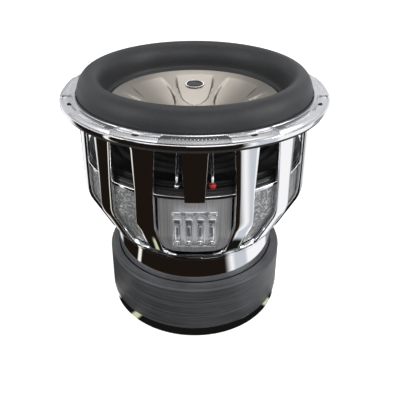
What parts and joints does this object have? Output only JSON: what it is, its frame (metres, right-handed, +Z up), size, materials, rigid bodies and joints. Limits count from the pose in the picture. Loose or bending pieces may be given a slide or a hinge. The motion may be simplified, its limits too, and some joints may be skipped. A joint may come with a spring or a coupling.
{
  "type": "car subwoofer speaker",
  "caption": "Large car subwoofer with a chrome spoked basket, half-roll surround, dished cone, stacked magnet motor and sprung wire terminals.",
  "frame": {"origin": "centre of the underside of the back plate, which the speaker stands on", "axes": "+Z up the motor axis towards the cone, -Y towards the terminal panel, +X to the right of the terminals"},
  "size_m": [0.325, 0.325, 0.3194],
  "materials": {
    "chrome": "mirror polished",
    "satin_silver": "satin",
    "champagne_dish": "fine satin, champagne tint",
    "brushed_panel": "brushed upright",
    "ferrite": "dull ceramic",
    "boot_rubber": "satin, faint lines round it",
    "surround_rubber": "fine grain, semi-matt",
    "black_plastic": "semi-matt",
    "cone_pulp": "matt fibre",
    "spider_cloth": "woven, resin treated",
    "copper": "enamelled wire",
    "mesh_metal": "fine mesh",
    "tinsel": "braided",
    "acrylic": "clear",
    "gasket_foam": "closed-cell foam",
    "red_plastic": "gloss",
    "plated_metal": "bright plated"
  },
  "bodies": {
    "frame": {"yoke": "chrome", "top_plate": "chrome", "basket": "chrome", "magnet_lower": "ferrite", "magnet_middle": "ferrite", "magnet_upper": "ferrite", "magnet_boot": "boot_rubber", "shorting_ring": "copper", "vent_screen": "black_plastic", "trim_ring": "satin_silver", "rear_gasket": "gasket_foam", "vent_mesh": "mesh_metal", "surround": "surround_rubber", "spider_lower": "spider_cloth", "spider_upper": "spider_cloth", "spider_ring": "black_plastic", "spider_clamp_ring": "black_plastic", "terminal_panel": "brushed_panel", "terminal_block": "acrylic", "motor_screw_1": "black_plastic", "terminal_post_1": "plated_metal", "button_spring_1": "plated_metal", "terminal_screw_1": "plated_metal", "tinsel_lead_1": "tinsel", "lead_bead_1": "plated_metal", "motor_screw_2": "black_plastic", "terminal_post_2": "plated_metal", "button_spring_2": "plated_metal", "terminal_screw_2": "plated_metal", "tinsel_lead_2": "tinsel", "lead_bead_2": "plated_metal", "motor_screw_3": "black_plastic", "terminal_post_3": "plated_metal", "button_spring_3": "plated_metal", "terminal_screw_3": "plated_metal", "tinsel_lead_3": "tinsel", "lead_bead_3": "plated_metal", "motor_screw_4": "black_plastic", "terminal_post_4": "plated_metal", "button_spring_4": "plated_metal", "terminal_screw_4": "plated_metal", "tinsel_lead_4": "tinsel", "lead_bead_4": "red_plastic"},
    "cone_assembly": {"front_dish": "champagne_dish", "cone_body": "cone_pulp", "badge": "black_plastic", "badge_rim": "plated_metal", "former": "satin_silver", "former_collar": "black_plastic", "coil_inner": "copper", "coil_outer": "copper"},
    "button_1": {"terminal_button_1": "plated_metal"},
    "button_2": {"terminal_button_2": "plated_metal"},
    "button_3": {"terminal_button_3": "plated_metal"},
    "button_4": {"terminal_button_4": "plated_metal"}
  },
  "joints": [
    {"name": "cone_stroke", "type": "slide", "parent": "frame", "child": "cone_assembly", "axis": [0, 0, 1], "range_m": [-0.022, 0.022], "stiffness_N_per_m": 9000, "deforming": ["surround", "spider_lower", "spider_upper", "tinsel_lead_1", "tinsel_lead_2", "tinsel_lead_3", "tinsel_lead_4"]},
    {"name": "button_press_1", "type": "slide", "parent": "frame", "child": "button_1", "axis": [0, 0, -1], "range_m": [0, 0.0028], "stiffness_N_per_m": 600, "springref_m": -0.002, "deforming": ["button_spring_1"]},
    {"name": "button_press_2", "type": "slide", "parent": "frame", "child": "button_2", "axis": [0, 0, -1], "range_m": [0, 0.0028], "stiffness_N_per_m": 600, "springref_m": -0.002, "deforming": ["button_spring_2"]},
    {"name": "button_press_3", "type": "slide", "parent": "frame", "child": "button_3", "axis": [0, 0, -1], "range_m": [0, 0.0028], "stiffness_N_per_m": 600, "springref_m": -0.002, "deforming": ["button_spring_3"]},
    {"name": "button_press_4", "type": "slide", "parent": "frame", "child": "button_4", "axis": [0, 0, -1], "range_m": [0, 0.0028], "stiffness_N_per_m": 600, "springref_m": -0.002, "deforming": ["button_spring_4"]}
  ]
}
